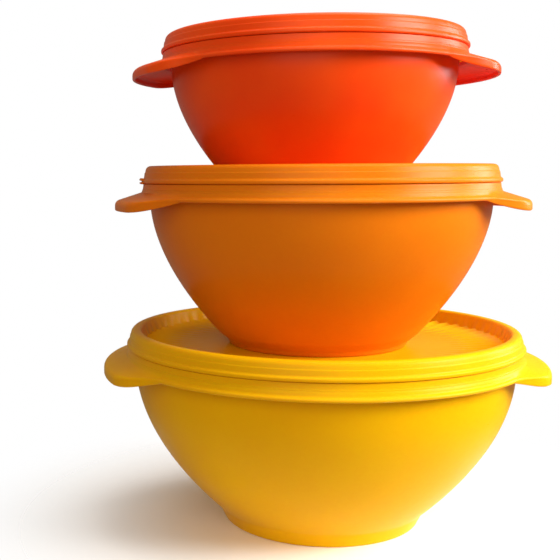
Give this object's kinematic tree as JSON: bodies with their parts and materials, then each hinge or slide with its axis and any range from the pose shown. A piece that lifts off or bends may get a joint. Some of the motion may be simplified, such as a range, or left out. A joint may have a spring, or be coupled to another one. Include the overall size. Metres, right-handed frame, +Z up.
{
  "type": "stacked set of lidded nesting bowls",
  "caption": "Round plastic serving bowls in graded sizes, each with hollow side handles and a press-on lid whose ringed top seats the next bowl's foot.",
  "frame": {"origin": "on the table under the middle of the largest bowl's foot", "axes": "+Z up through the stack; +X along the largest bowl's two handles; -Y towards the front"},
  "size_m": [0.264, 0.241, 0.2895],
  "materials": {
    "yellow_plastic": "satin moulded polyethylene",
    "orange_plastic": "satin moulded polyethylene",
    "red_plastic": "satin moulded polyethylene"
  },
  "bodies": {
    "large_bowl": {"large_bowl": "yellow_plastic"},
    "large_lid": {"large_lid": "yellow_plastic"},
    "middle_bowl": {"middle_bowl": "orange_plastic"},
    "middle_lid": {"middle_lid": "orange_plastic"},
    "small_bowl": {"small_bowl": "red_plastic"},
    "small_lid": {"small_lid": "red_plastic"}
  },
  "joints": [
    {"name": "large_lid_lift", "type": "slide", "parent": "large_bowl", "child": "large_lid", "axis": [0, 0, 1], "range_m": [0, 0.06]},
    {"name": "middle_bowl_lift", "type": "slide", "parent": "large_lid", "child": "middle_bowl", "axis": [0, 0, 1], "range_m": [0, 0.06]},
    {"name": "middle_lid_lift", "type": "slide", "parent": "middle_bowl", "child": "middle_lid", "axis": [0, 0, 1], "range_m": [0, 0.06]},
    {"name": "small_bowl_lift", "type": "slide", "parent": "middle_lid", "child": "small_bowl", "axis": [0, 0, 1], "range_m": [0, 0.06]},
    {"name": "small_lid_lift", "type": "slide", "parent": "small_bowl", "child": "small_lid", "axis": [0, 0, 1], "range_m": [0, 0.06]}
  ]
}
